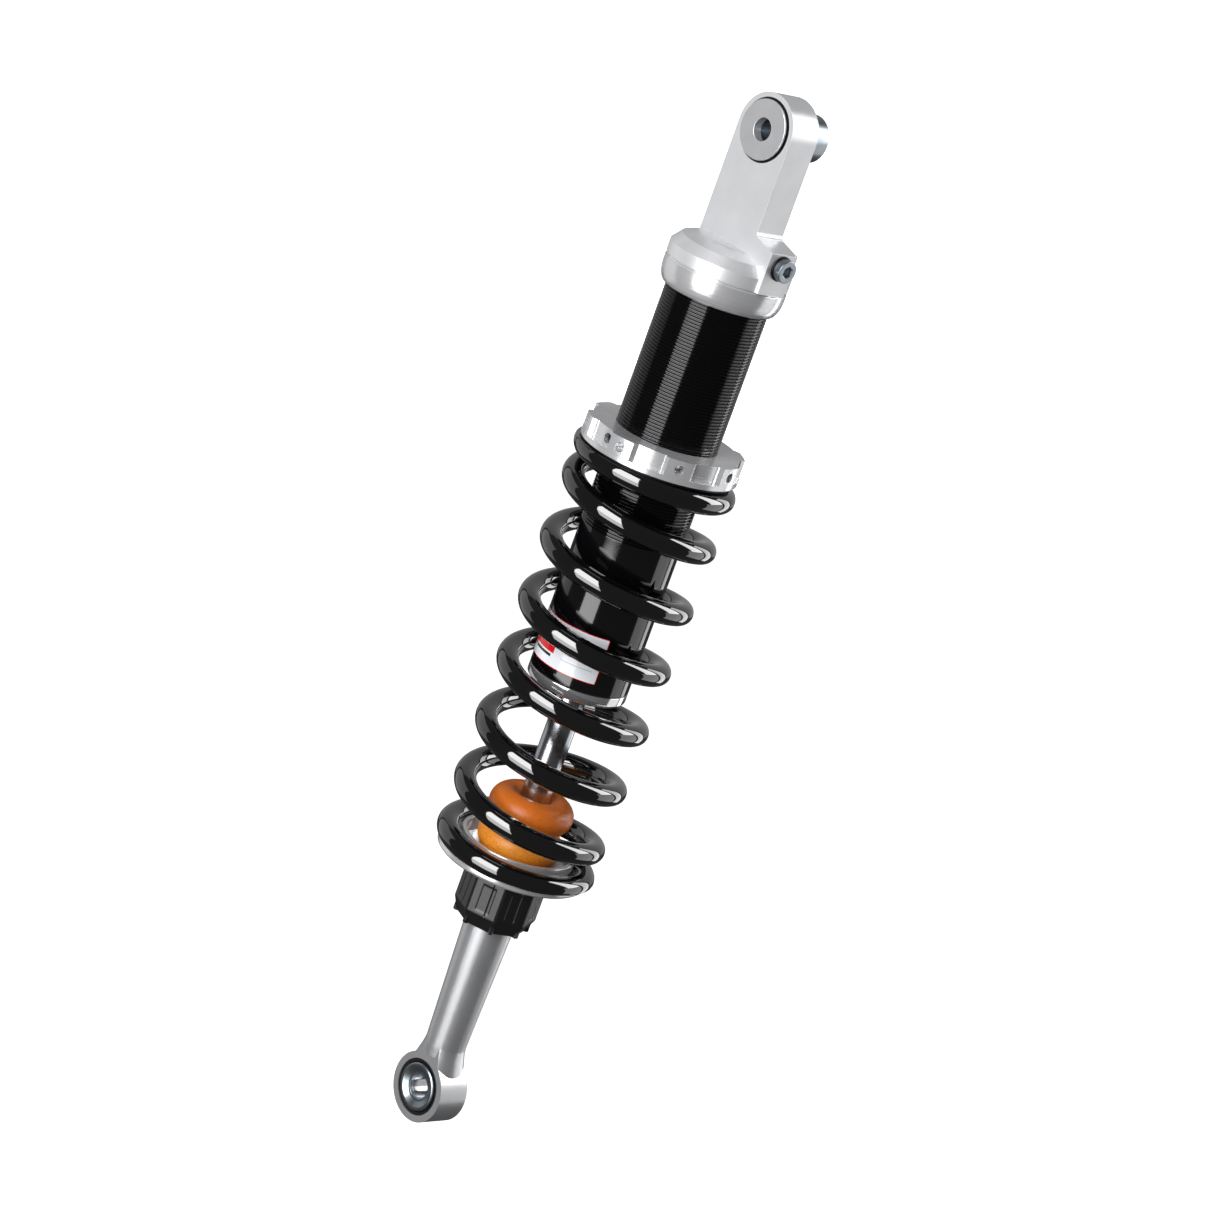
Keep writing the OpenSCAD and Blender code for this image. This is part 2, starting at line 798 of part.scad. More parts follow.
upper_head();
head_lock_ring();
head_oring();
damper_tube();
tube_end_ring();
body_label();
rod_guide();
guide_bush();
guide_oring();
guide_circlip();
rod_seal();
rod_wiper();
gas_valve_screw();
gas_valve_washer();
upper_race();
upper_circlips();
upper_front_seal();
upper_rear_seal();
upper_ball();
upper_front_spacer();
upper_rear_spacer();
floating_piston();
floating_piston_seal();
floating_piston_band();
preload_ring();
ring_lock_screw();
thrust_washer();
spring();
piston_rod();
damping_piston();
piston_band();
rebound_shims();
compression_shims();
piston_nut();
top_out_bumper();
bump_stop();
lower_spring_seat();
seat_collar();
rebound_knob();
detent_ball();
detent_spring();
rebound_needle();
adjuster_cross_pin();
lower_eye_shaft();
lower_race();
lower_circlips();
lower_front_seal();
lower_rear_seal();
lower_ball();
lower_front_bush();
lower_rear_bush();
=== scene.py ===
from math import cos, degrees, pi, radians, sin, tau

import bmesh
import bpy
from mathutils import Matrix, Vector


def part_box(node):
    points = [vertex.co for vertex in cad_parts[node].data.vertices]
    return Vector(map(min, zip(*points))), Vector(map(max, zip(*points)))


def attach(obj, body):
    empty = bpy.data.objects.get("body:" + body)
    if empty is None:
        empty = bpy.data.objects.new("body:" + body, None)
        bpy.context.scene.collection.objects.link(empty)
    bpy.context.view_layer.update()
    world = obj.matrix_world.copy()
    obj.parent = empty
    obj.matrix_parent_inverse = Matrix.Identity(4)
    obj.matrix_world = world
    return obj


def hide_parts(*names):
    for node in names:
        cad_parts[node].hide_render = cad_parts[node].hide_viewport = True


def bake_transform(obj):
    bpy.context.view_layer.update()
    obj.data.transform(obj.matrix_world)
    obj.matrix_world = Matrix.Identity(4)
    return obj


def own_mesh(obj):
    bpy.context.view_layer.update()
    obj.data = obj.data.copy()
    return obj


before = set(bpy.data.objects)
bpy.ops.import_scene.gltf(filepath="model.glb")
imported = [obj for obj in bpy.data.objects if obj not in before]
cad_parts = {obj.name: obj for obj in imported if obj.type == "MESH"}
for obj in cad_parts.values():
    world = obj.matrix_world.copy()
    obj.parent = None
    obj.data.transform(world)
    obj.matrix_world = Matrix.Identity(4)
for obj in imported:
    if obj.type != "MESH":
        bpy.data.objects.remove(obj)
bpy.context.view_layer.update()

mm = 0.001  # sizes below are millimetres, and the scene is metres


# helpers for sizes and outlines

knownSpans = {}


def span(node):
    # lowest and highest corner of a CAD node, in millimetres
    if node not in knownSpans:
        knownSpans[node] = [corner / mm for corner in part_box(node)]
    return knownSpans[node]


def smooth(value, low, high):
    # 0 below low, 1 above high and a soft step between them
    share = min(max((value - low) / (high - low), 0), 1)
    return share * share * (3 - 2 * share)


def easeOutline(outline, easing, steps=3):
    # rounds every corner of a closed outline, starting this far from it
    # but never past this share of the side it meets
    sideShare = 0.45
    corners = [Vector(point) for point in outline]
    rounded = []
    for index, corner in enumerate(corners):
        before = corners[index - 1] - corner
        after = corners[(index + 1) % len(corners)] - corner
        start = corner + before.normalized() * min(easing, sideShare * before.length)
        end = corner + after.normalized() * min(easing, sideShare * after.length)
        for step in range(steps + 1):
            share = step / steps
            rounded.append(start * (1 - share) ** 2 + corner * 2 * share * (1 - share) + end * share ** 2)
    return rounded


def turnOutline(outline, axis="Z", height=0, steps=128):
    # revolves a closed outline of (radius, distance along the axis) points
    points = []
    for step in range(steps):
        angle = tau * step / steps
        for radius, along in outline:
            if axis == "Z":
                points.append((radius * cos(angle), radius * sin(angle), along + height))
            else:
                points.append((radius * cos(angle), along, radius * sin(angle) + height))
    return points, wrapFaces(steps, len(outline))


def wrapFaces(columns, rows):
    # quads between columns of points, closed both ways
    faces = []
    for column in range(columns):
        here, there = column * rows, (column + 1) % columns * rows
        for row in range(rows):
            above = (row + 1) % rows
            faces.append((here + row, there + row, there + above, here + above))
    return faces


def addPiece(name, points, faces, settings):
    # makes a mesh piece from millimetre points, ties it to its body and hides its CAD node
    sculpt = bmesh.new()
    corners = [sculpt.verts.new(Vector(point) * mm) for point in points]
    for face in faces:
        sculpt.faces.new([corners[index] for index in face])
    bmesh.ops.recalc_face_normals(sculpt, faces=sculpt.faces)
    return finishPiece(name, sculpt, settings)


def finishPiece(name, sculpt, settings):
    mesh = bpy.data.meshes.new(name)
    sculpt.to_mesh(mesh)
    sculpt.free()
    mesh.polygons.foreach_set("use_smooth", [True] * len(mesh.polygons))
    mesh.set_sharp_from_angle(angle=radians(settings.get("sharpAngle", 40)))
    mesh.materials.append(settings["finish"])
    piece = bpy.data.objects.new(name, mesh)
    bpy.context.scene.collection.objects.link(piece)
    if "body" in settings:
        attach(piece, settings["body"])
    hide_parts(settings["node"])
    return piece


def addTurned(name, outline, settings, axis="Z", height=0, steps=128):
    # a piece turned about an axis, with the corners of its outline eased
    eased = easeOutline(outline, settings["easing"])
    return addPiece(name, *turnOutline(eased, axis, height, steps), settings)


def ringOutline(bore, outer, low, high):
    return [(bore, low), (outer, low), (outer, high), (bore, high)]


def addEasedCopy(name, settings):
    # copies a CAD node, makes its flat faces whole again and rounds its edges
    joinWithin, flatWithin = 0.02 * mm, radians(0.5)
    sculpt = bmesh.new()
    sculpt.from_mesh(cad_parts[settings["node"]].data)
    bmesh.ops.remove_doubles(sculpt, verts=sculpt.verts, dist=joinWithin)
    bmesh.ops.dissolve_limit(sculpt, angle_limit=flatWithin, verts=sculpt.verts, edges=sculpt.edges)
    crisp = [edge for edge in sculpt.edges if len(edge.link_faces) == 2
             and edge.calc_face_angle(0) > radians(settings.get("edgeAngle", 24))]
    bmesh.ops.bevel(sculpt, geom=crisp, offset=settings["edge"] * mm, offset_type="OFFSET",
                    segments=settings.get("segments", 2), profile=0.5, affect="EDGES", clamp_overlap=True)
    piece = finishPiece(name, sculpt, settings)
    weighted = piece.modifiers.new("Weighted normals", "WEIGHTED_NORMAL")
    weighted.keep_sharp = True
    return piece


# materials

def toLinear(hexColour):
    # sRGB hex to the linear values that the shaders use
    channels = [int(hexColour[index:index + 2], 16) / 255 for index in (1, 3, 5)]
    return [c / 12.92 if c <= 0.04045 else ((c + 0.055) / 1.055) ** 2.4 for c in channels] + [1]


def perMetre(size):
    # how often a pattern of this size in millimetres repeats in a metre
    return 1 / (size * mm)


def addNode(tree, kind, settings=None, links=None):
    node = tree.nodes.new("ShaderNode" + kind)
    for key, value in (settings or {}).items():
        if isinstance(key, int) or key in node.inputs:
            node.inputs[key].default_value = value
        else:
            setattr(node, key, value)
    for socket, source in (links or {}).items():
        tree.links.new(source, node.inputs[socket])
    return node


def startMaterial(name, settings):
    # an empty material with its shader, and the place on the piece that moves with it
    material = bpy.data.materials.new(name)
    material.use_nodes = True
    tree = material.node_tree
    tree.nodes.clear()
    shader = addNode(tree, "BsdfPrincipled", settings)
    addNode(tree, "OutputMaterial", links={"Surface": shader.outputs[0]})
    place = addNode(tree, "TexCoord").outputs["Object"]
    return material, tree, shader, place


def mixColours(tree, factor, first, second):
    # each colour is a hex value or the output of another node
    settings, links = {"data_type": "RGBA"}, {0: factor}
    for socket, colour in ((6, first), (7, second)):
        if isinstance(colour, str):
            settings[socket] = toLinear(colour)
        else:
            links[socket] = colour
    return addNode(tree, "Mix", settings, links).outputs[2]


def varyColour(tree, shader, factor, first, second):
    tree.links.new(mixColours(tree, factor, first, second), shader.inputs["Base Color"])


def varyRoughness(tree, shader, factor, low, high):
    spread = addNode(tree, "MapRange", {"To Min": low, "To Max": high}, {"Value": factor})
    tree.links.new(spread.outputs[0], shader.inputs["Roughness"])


def raiseBump(tree, shader, height, depth, strength=1):
    # depth is in millimetres
    bump = addNode(tree, "Bump", {"Strength": strength, "Distance": depth * mm}, {"Height": height})
    previous = shader.inputs["Normal"].links
    if previous:
        tree.links.new(previous[0].from_socket, bump.inputs["Normal"])
    tree.links.new(bump.outputs[0], shader.inputs["Normal"])


def turnedRings(tree, place, axis, height, pitch):
    # tool marks: rings about the axis, on the faces and, drawn a little wider apart, on the walls
    wallShare = 0.7
    mask = (1, 1, 0) if axis == "Z" else (1, 0, 1)
    along = (0, 0, wallShare) if axis == "Z" else (0, wallShare, 0)
    centre = (0, 0, height * mm)
    moved = addNode(tree, "VectorMath", {"operation": "SUBTRACT", 1: centre}, {0: place}).outputs[0]
    flat = addNode(tree, "VectorMath", {"operation": "MULTIPLY", 1: mask}, {0: moved}).outputs[0]
    radius = addNode(tree, "VectorMath", {"operation": "LENGTH"}, {0: flat}).outputs["Value"]
    rise = addNode(tree, "VectorMath", {"operation": "DOT_PRODUCT", 1: along}, {0: moved}).outputs["Value"]
    path = addNode(tree, "Math", {"operation": "ADD"}, {0: radius, 1: rise}).outputs[0]
    return addNode(tree, "TexNoise", {"noise_dimensions": "1D", "Scale": perMetre(pitch), "Detail": 2.0},
                   {"W": path}).outputs["Fac"]


def noiseOf(tree, place, size, detail=2.0, stretch=(1, 1, 1)):
    spot = addNode(tree, "Mapping", {"Scale": stretch}, {"Vector": place}).outputs[0]
    return addNode(tree, "TexNoise", {"Scale": perMetre(size), "Detail": detail},
                   {"Vector": spot}).outputs["Fac"]


# Turned aluminium: fine rings left by the tool, which smear the lights along the axis
turnedAluminiumLook = {
    "metal": "#efeff1", "shade": "#dedfe2", "roughLow": 0.2, "roughHigh": 0.3, "metallic": 0.66,
    "ringPitch": 0.5,  # the tool's feed is 0.15, drawn coarser so that it shows
    "ringDepth": 0.006, "cloud": 9, "smear": 0.5, "smearTurn": 0.25,
}


def turnedAluminium(name, axis, height=0, polish=0):
    # polish runs from 0, as turned, to 1, a mirror
    look = turnedAluminiumLook
    dull = 1 - polish
    material, tree, shader, place = startMaterial(name, {"Metallic": 1 - (1 - look["metallic"]) * dull})
    rings = turnedRings(tree, place, axis, height, look["ringPitch"])
    if axis == "Z":
        tangent = addNode(tree, "Tangent", {"direction_type": "RADIAL", "axis": axis}).outputs[0]
        tree.links.new(tangent, shader.inputs["Tangent"])
        shader.inputs["Anisotropic"].default_value = look["smear"] * dull
        shader.inputs["Anisotropic Rotation"].default_value = look["smearTurn"]
    varyColour(tree, shader, noiseOf(tree, place, look["cloud"]), look["metal"], look["shade"])
    varyRoughness(tree, shader, rings, look["roughLow"] * dull, look["roughHigh"] * dull)
    raiseBump(tree, shader, rings, look["ringDepth"] * dull)
    return material


# Tumbled aluminium: milled, then rolled with ceramic chips, which leaves a dull even sparkle
tumbledAluminiumLook = {
    "metal": "#ecedef", "shade": "#dcdde0", "roughLow": 0.28, "roughHigh": 0.4,
    "chip": 0.7,  # chip marks are 0.2 wide, drawn coarser so that they show
    "chipDepth": 0.012, "cut": 0.5, "cutLength": 30, "cutDepth": 0.008, "cloud": 12,
}


def tumbledAluminium(name, cutStrength, metallic):
    look = tumbledAluminiumLook
    material, tree, shader, place = startMaterial(name, {"Metallic": metallic})
    chips = noiseOf(tree, place, look["chip"], 3.0)
    cuts = noiseOf(tree, place, look["cut"], 2.0, (1, 1, look["cut"] / look["cutLength"]))
    varyColour(tree, shader, noiseOf(tree, place, look["cloud"]), look["metal"], look["shade"])
    varyRoughness(tree, shader, chips, look["roughLow"], look["roughHigh"])
    raiseBump(tree, shader, chips, look["chipDepth"])
    raiseBump(tree, shader, cuts, look["cutDepth"], cutStrength)
    return material


# Stove enamel on spring steel: poured-looking black gloss with a faint orange peel
stoveEnamelLook = {"shader": {"IOR": 1.8, "Coat Weight": 1, "Coat Roughness": 0.03},
                   "paint": "#060607", "dust": "#0c0c0e", "roughLow": 0.035, "roughHigh": 0.07,
                   "peel": 3.2, "peelDepth": 0.008, "cloud": 14}


def stoveEnamel(name):
    look = stoveEnamelLook
    material, tree, shader, place = startMaterial(name, look["shader"])
    varyColour(tree, shader, noiseOf(tree, place, look["cloud"]), look["paint"], look["dust"])
    varyRoughness(tree, shader, noiseOf(tree, place, look["cloud"], 4.0), look["roughLow"], look["roughHigh"])
    raiseBump(tree, shader, noiseOf(tree, place, look["peel"], 1.0), look["peelDepth"])
    return material


# Hard-anodised aluminium, dyed black: glassy on the smooth length, with drawing lines round it
blackAnodiseLook = {"shader": {"IOR": 1.75}, "colours": ("#050506", "#09090b"), "rough": (0.06, 0.12),
                    "ringPitch": 0.6, "ringDepth": 0.0015, "cloud": 16}

# Hard chrome, ground and polished: a mirror with a trace of grinding lines round the rod
hardChromeLook = {"shader": {"Metallic": 1}, "colours": ("#d4d7dc", "#c3c7cf"), "rough": (0.19, 0.26),
                  "ringPitch": 0.4, "ringDepth": 0.0008, "cloud": 8}


def ringed(name, look):
    # fine lines round the shock's axis, under slow clouds of colour
    material, tree, shader, place = startMaterial(name, look["shader"])
    rings = turnedRings(tree, place, "Z", 0, look["ringPitch"])
    varyColour(tree, shader, noiseOf(tree, place, look["cloud"]), *look["colours"])
    varyRoughness(tree, shader, rings, *look["rough"])
    raiseBump(tree, shader, rings, look["ringDepth"])
    return material


# Bright zinc plate over turned steel: bluish, with soft tool rings under the plating
zincPlateLook = {"plate": "#b2bac0", "shade": "#96a0a8", "roughLow": 0.24, "roughHigh": 0.38,
                 "ringPitch": 0.5, "ringDepth": 0.006, "cloud": 3}


def zincPlate(name, axis, height):
    look = zincPlateLook
    material, tree, shader, place = startMaterial(name, {"Metallic": 1})
    rings = turnedRings(tree, place, axis, height, look["ringPitch"])
    cloud = noiseOf(tree, place, look["cloud"], 3.0)
    varyColour(tree, shader, cloud, look["plate"], look["shade"])
    varyRoughness(tree, shader, cloud, look["roughLow"], look["roughHigh"])
    raiseBump(tree, shader, rings, look["ringDepth"])
    return material


# Ground bearing steel: grey and clean, nearly a mirror
bearingSteelLook = {"shader": {"Metallic": 1}, "colours": ("#c2c4c8", "#a9abb0"), "rough": (0.12, 0.24),
                    "grain": 2, "detail": 4.0, "depth": 0.002}

# Black oxide on steel: dark, oily and a little uneven, with bright steel coming through
blackOxideLook = {"shader": {"Metallic": 0.85}, "colours": ("#1b1b1d", "#3a3a3d"), "rough": (0.32, 0.5),
                  "grain": 1.2, "detail": 5.0, "depth": 0.006}

# Nitrile rubber, moulded: near black, matt, with a faint bloom
nitrileRubberLook = {"shader": {"IOR": 1.38}, "colours": ("#060607", "#101011"), "rough": (0.6, 0.78),
                     "grain": 0.8, "detail": 4.0, "depth": 0.01}

# Sintered bronze: warm, porous and slightly oily
sinteredBronzeLook = {"shader": {"Metallic": 1}, "colours": ("#b08648", "#6e5128"), "rough": (0.3, 0.5),
                      "grain": 0.6, "detail": 4.0, "depth": 0.015}

# Filled fluoropolymer band: waxy, off-white with a bronze tinge
slideBandLook = {"shader": {"IOR": 1.38}, "colours": ("#cfc4a6", "#a8926a"), "rough": (0.4, 0.55),
                 "grain": 0.5, "detail": 3.0, "depth": 0.005}


def grained(name, look):
    # one grain that carries colour, roughness and bump together
    material, tree, shader, place = startMaterial(name, look["shader"])
    grain = noiseOf(tree, place, look["grain"], look["detail"])
    varyColour(tree, shader, grain, *look["colours"])
    varyRoughness(tree, shader, grain, *look["rough"])
    raiseBump(tree, shader, grain, look["depth"])
    return material


# Moulded nylon with glass: black with a low sheen and a fine spark-eroded texture
mouldedNylonLook = {"nylon": "#0a0a0c", "sheen": "#111114", "roughLow": 0.26, "roughHigh": 0.4,
                    "spark": 0.6, "sparkDepth": 0.02, "cloud": 7}


def mouldedNylon(name):
    look = mouldedNylonLook
    material, tree, shader, place = startMaterial(name, {"IOR": 1.75})
    spark = noiseOf(tree, place, look["spark"], 3.0)
    varyColour(tree, shader, noiseOf(tree, place, look["cloud"]), look["nylon"], look["sheen"])
    varyRoughness(tree, shader, spark, look["roughLow"], look["roughHigh"])
    raiseBump(tree, shader, spark, look["sparkDepth"])
    return material


# Microcellular urethane, moulded: soft orange skin with pinholes and darker folds
cellularUrethaneLook = {
    "shader": {"IOR": 1.5, "Subsurface Weight": 0.25, "Subsurface Radius": (1, 0.4, 0.1),
               "Subsurface Scale": 1.5 * mm},
    # the pinholes are drawn in a darker colour: painted shade inside them
    "skin": "#ffab3c", "fold": "#ee8c20", "poreShade": "#a8520e", "roughLow": 0.3, "roughHigh": 0.5,
    "cell": 1.1,  # the cells are 0.3 wide, drawn coarser so that they show
    "poreStart": 0.05, "poreEnd": 0.32, "cellDepth": 0.05, "cloud": 7,
    # painted shade on the upper lobe: its colour, the heights over which it fades in, and its strength
    "paintedShade": "#c8540c", "paintedShadeLow": 138, "paintedShadeHigh": 142, "paintedShadeShare": 0.7,
}


def cellularUrethane(name):
    look = cellularUrethaneLook
    material, tree, shader, place = startMaterial(name, look["shader"])
    cells = addNode(tree, "TexVoronoi", {"Scale": perMetre(look["cell"])},
                    {"Vector": place}).outputs["Distance"]
    pores = addNode(tree, "MapRange", {"From Min": look["poreStart"], "From Max": look["poreEnd"]},
                    {"Value": cells}).outputs[0]
    cloud = noiseOf(tree, place, look["cloud"], 3.0)
    # the pinholes take the painted shade colour, over the skin and its folds
    holed = mixColours(tree, pores, look["poreShade"], mixColours(tree, cloud, look["skin"], look["fold"]))
    # painted shade: the upper lobe is drawn deeper in colour, standing in for the shadow that the coils and
    # tube cast on it
    height = addNode(tree, "SeparateXYZ", links={0: place}).outputs["Z"]
    paintedShade = addNode(tree, "MapRange", {"From Min": look["paintedShadeLow"] * mm, "From Max": look["paintedShadeHigh"] * mm,
                                       "To Max": look["paintedShadeShare"]}, {"Value": height}).outputs[0]
    varyColour(tree, shader, paintedShade, holed, look["paintedShade"])
    varyRoughness(tree, shader, cloud, look["roughLow"], look["roughHigh"])
    raiseBump(tree, shader, pores, look["cellDepth"])
    return material


# Printed polyester film: silver-white with a red panel and border, under clear laminate
printedFilmLook = {
    "shader": {"Roughness": 0.2, "IOR": 1.5, "Coat Weight": 0.5, "Coat Roughness": 0.06},
    "film": "#eef0f3", "shade": "#d3d9e0", "red": "#d3141c", "ink": "#a9b2bc", "bar": "#26282c", "cloud": 11,
    # turns are degrees from the label's left end, and heights are from its lower edge
    "border": 0.35, "panelTurns": (4, 49), "panelHeights": (6.2, 19.4), "cornerTurn": 12, "cornerHeight": 4,
    "stripeTurns": (60, 98), "stripeHeights": (5.5, 8.5, 11.5), "stripeWidth": 0.35,
    "barTurns": (14, 46), "barHeights": (4.1, 5.4),
}


def printedFilm(name, label):
    look = printedFilmLook
    material, tree, shader, place = startMaterial(name, look["shader"])
    split = addNode(tree, "SeparateXYZ", links={0: place}).outputs
    turn = addNode(tree, "Math", {"operation": "ARCTAN2"}, {0: split["Y"], 1: split["X"]}).outputs[0]
    labelLow, labelHigh = (corner.z for corner in span("body_label"))
    labelTurns = label["endTurn"] - label["startTurn"]

    def within(value, start, end):
        # 1 between start and end, else 0
        above = addNode(tree, "Math", {"operation": "GREATER_THAN", 1: start}, {0: value}).outputs[0]
        under = addNode(tree, "Math", {"operation": "LESS_THAN", 1: end}, {0: value}).outputs[0]
        return addNode(tree, "Math", {"operation": "MULTIPLY"}, {0: above, 1: under}).outputs[0]

    def patch(turns, heights):
        first, last = (radians(label["startTurn"] + edge) for edge in turns)
        low, high = ((labelLow + edge) * mm for edge in heights)
        return addNode(tree, "Math", {"operation": "MULTIPLY"}, {
            0: within(turn, first, last), 1: within(split["Z"], low, high)}).outputs[0]

    def joined(patches):
        total = patches[0]
        for extra in patches[1:]:
            total = addNode(tree, "Math", {"operation": "MAXIMUM"}, {0: total, 1: extra}).outputs[0]
        return total

    border, borderTurn = look["border"], degrees(look["border"] / label["radius"])
    inside = patch((borderTurn, labelTurns - borderTurn), (border, labelHigh - labelLow - border))
    panelStart, panelLow = look["panelTurns"][0], look["panelHeights"][0]
    panel = joined([patch(look["panelTurns"], look["panelHeights"]),
                    patch((panelStart, look["cornerTurn"]), (look["cornerHeight"], panelLow))])
    stripes = joined([patch(look["stripeTurns"], (height, height + look["stripeWidth"]))
                      for height in look["stripeHeights"]])
    sheet = mixColours(tree, noiseOf(tree, place, look["cloud"]), look["film"], look["shade"])
    striped = mixColours(tree, stripes, sheet, look["ink"])
    barred = mixColours(tree, patch(look["barTurns"], look["barHeights"]), striped, look["bar"])
    panelled = mixColours(tree, panel, barred, look["red"])
    varyColour(tree, shader, inside, look["red"], panelled)
    return material


printedLabel = {"node": "body_label", "body": "damper", "slot": "printed_film", "radius": 23.6,
                "startTurn": -134, "endTurn": -28, "thickness": 0.12, "corner": 1.2, "columns": 60,
                "cornerSteps": 6}

eyeHeight = sum(corner.z for corner in span("upper_ball")) / 2
finishes = {
    "turned": turnedAluminium("turned_aluminium", "Z"),
    "polished": turnedAluminium("polished_aluminium", "Z", 0, 0.6),
    "turnedUpperEye": turnedAluminium("turned_aluminium_upper_eye", "Y", eyeHeight),
    # lit and shaded copies of one finish: the head's copy is less metallic and takes more diffuse light, and
    # the shaft's is more metallic and reads darker, as painted shade for the light falling off towards the
    # lower eye
    "tumbled": tumbledAluminium("tumbled_aluminium", 0.6, 0.52),
    "tumbledShaftShaded": tumbledAluminium("tumbled_aluminium_shaft_shaded", 0.9, 0.86),
    "enamel": stoveEnamel("stove_enamel"),
    "anodise": ringed("black_anodise", blackAnodiseLook),
    "chrome": ringed("hard_chrome", hardChromeLook),
    "zincUpper": zincPlate("zinc_plate_upper", "Y", eyeHeight),
    "zincLower": zincPlate("zinc_plate_lower", "Y", 0),
    "bearing": grained("bearing_steel", bearingSteelLook),
    "oxide": grained("black_oxide", blackOxideLook),
    "rubber": grained("nitrile_rubber", nitrileRubberLook),
    "nylon": mouldedNylon("moulded_nylon"),
    "urethane": cellularUrethane("cellular_urethane"),
    "bronze": grained("sintered_bronze", sinteredBronzeLook),
    "band": grained("slide_band", slideBandLook),
    "film": printedFilm("printed_film", printedLabel),
}
print("materials made:", len(finishes))

# the CAD nodes that stay as they are, by finish
keptNodes = {
    "tumbled": ("rod_guide", "floating_piston", "damping_piston"),
    "bearing": ("upper_race", "upper_ball", "lower_race", "lower_ball", "rebound_needle", "detent_ball",
                "adjuster_cross_pin", "rebound_shims", "compression_shims", "piston_nut"),
    "oxide": ("upper_circlips", "lower_circlips", "guide_circlip", "detent_spring"),
    "rubber": ("head_oring", "guide_oring", "rod_seal", "rod_wiper", "floating_piston_seal",
               "top_out_bumper"),
    "bronze": ("guide_bush",),
    "band": ("piston_band", "floating_piston_band"),
}
for finishName, nodeNames in keptNodes.items():
    for nodeName in nodeNames:
        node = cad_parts[nodeName]
        node.data.materials.clear()
        node.data.materials.append(finishes[finishName])


# head

upperHead = {"node": "upper_head", "body": "damper", "slot": "machined_aluminium",
             "finish": finishes["tumbled"], "edge": 0.45}
addEasedCopy("upper_head_machined", upperHead)

lockRing = {"node": "head_lock_ring", "body": "damper", "slot": "machined_aluminium",
            "finish": finishes["turned"], "easing": 0.3, "wall": 4.35, "curl": (3.6, 8.5),
            "grooveInset": 0.5, "grooveHeight": 0.9, "grooveSlope": 0.1}


def buildLockRing():
    low, high = span("head_lock_ring")
    outer = high.x
    curlIn, curlUp = lockRing["curl"]
    inner = outer - lockRing["wall"]
    curve = [(outer - curlIn * (1 - sin(radians(a))), low.z + curlUp * (1 - cos(radians(a))))
             for a in range(0, 91, 15)]
    # a narrow groove parts the ring from the flange above it
    groove, grooveLow = outer - lockRing["grooveInset"], high.z - lockRing["grooveHeight"]
    outline = [(inner, low.z)] + curve
    outline += [(outer, grooveLow), (groove, grooveLow + lockRing["grooveSlope"]), (groove, high.z),
                (inner, high.z)]
    addTurned("head_lock_ring_turned", outline, lockRing)


buildLockRing()

valveScrew = {"node": "gas_valve_screw", "body": "damper", "slot": "zinc_plated_steel",
              "finish": finishes["zincUpper"], "edge": 0.35}
addEasedCopy("gas_valve_screw_plated", valveScrew)
valveWasher = {"node": "gas_valve_washer", "body": "damper", "slot": "blackened_steel",
               "finish": finishes["oxide"], "edge": 0.2}
addEasedCopy("gas_valve_washer_blacked", valveWasher)


# the seals: rings about Y, set back a little in their eyes
sealRing = {"slot": "rubber", "finish": finishes["rubber"], "easing": 0.45}
seals = {
    "upper_front_seal": dict(sealRing, body="damper", bore=11.6, front=0.6, back=0),
    "upper_rear_seal": dict(sealRing, body="damper", bore=11.6, front=0, back=0.6),
    "lower_front_seal": dict(sealRing, body="rod", bore=12, front=0.1, back=0),
    "lower_rear_seal": dict(sealRing, body="rod", bore=12, front=0, back=0.1),
}


def addSeal(node, seal):
    low, high = span(node)
    outline = ringOutline(seal["bore"], high.x, low.y + seal["front"], high.y - seal["back"])
    addTurned(node + "_moulded", outline, dict(seal, node=node), "Y", (low.z + high.z) / 2, 96)


for nodeName, seal in seals.items():
    addSeal(nodeName, seal)

frontSpacer = {"node": "upper_front_spacer", "body": "upper_bearing", "slot": "machined_aluminium",
               "finish": finishes["turnedUpperEye"], "edge": 0.3}
addEasedCopy("upper_front_spacer_turned", frontSpacer)
rearSpacer = {"node": "upper_rear_spacer", "body": "upper_bearing", "slot": "zinc_plated_steel",
              "finish": finishes["zincUpper"], "edge": 0.3}
addEasedCopy("upper_rear_spacer_plated", rearSpacer)
frontBush = {"node": "lower_front_bush", "body": "lower_bearing", "slot": "zinc_plated_steel",
             "finish": finishes["zincLower"], "edge": 0.25}
addEasedCopy("lower_front_bush_plated", frontBush)
rearBush = {"node": "lower_rear_bush", "body": "lower_bearing", "slot": "zinc_plated_steel",
            "finish": finishes["zincLower"], "edge": 0.25}
addEasedCopy("lower_rear_bush_plated", rearBush)
print("head and bolt pieces made")


# damper tube, with its thread cut as one long helix

damperTube = {"node": "damper_tube", "body": "damper", "slot": "black_enamel", "finish": finishes["anodise"],
              "smoothRadius": 23.6, "bore": 20, "threadLow": 287.3, "pitch": 1.5, "depth": 0.75,
              "crest": 0.16, "root": 0.12, "relief": 0.3, "columns": 96, "chamfer": 0.6,
              "sharpAngle": 35}


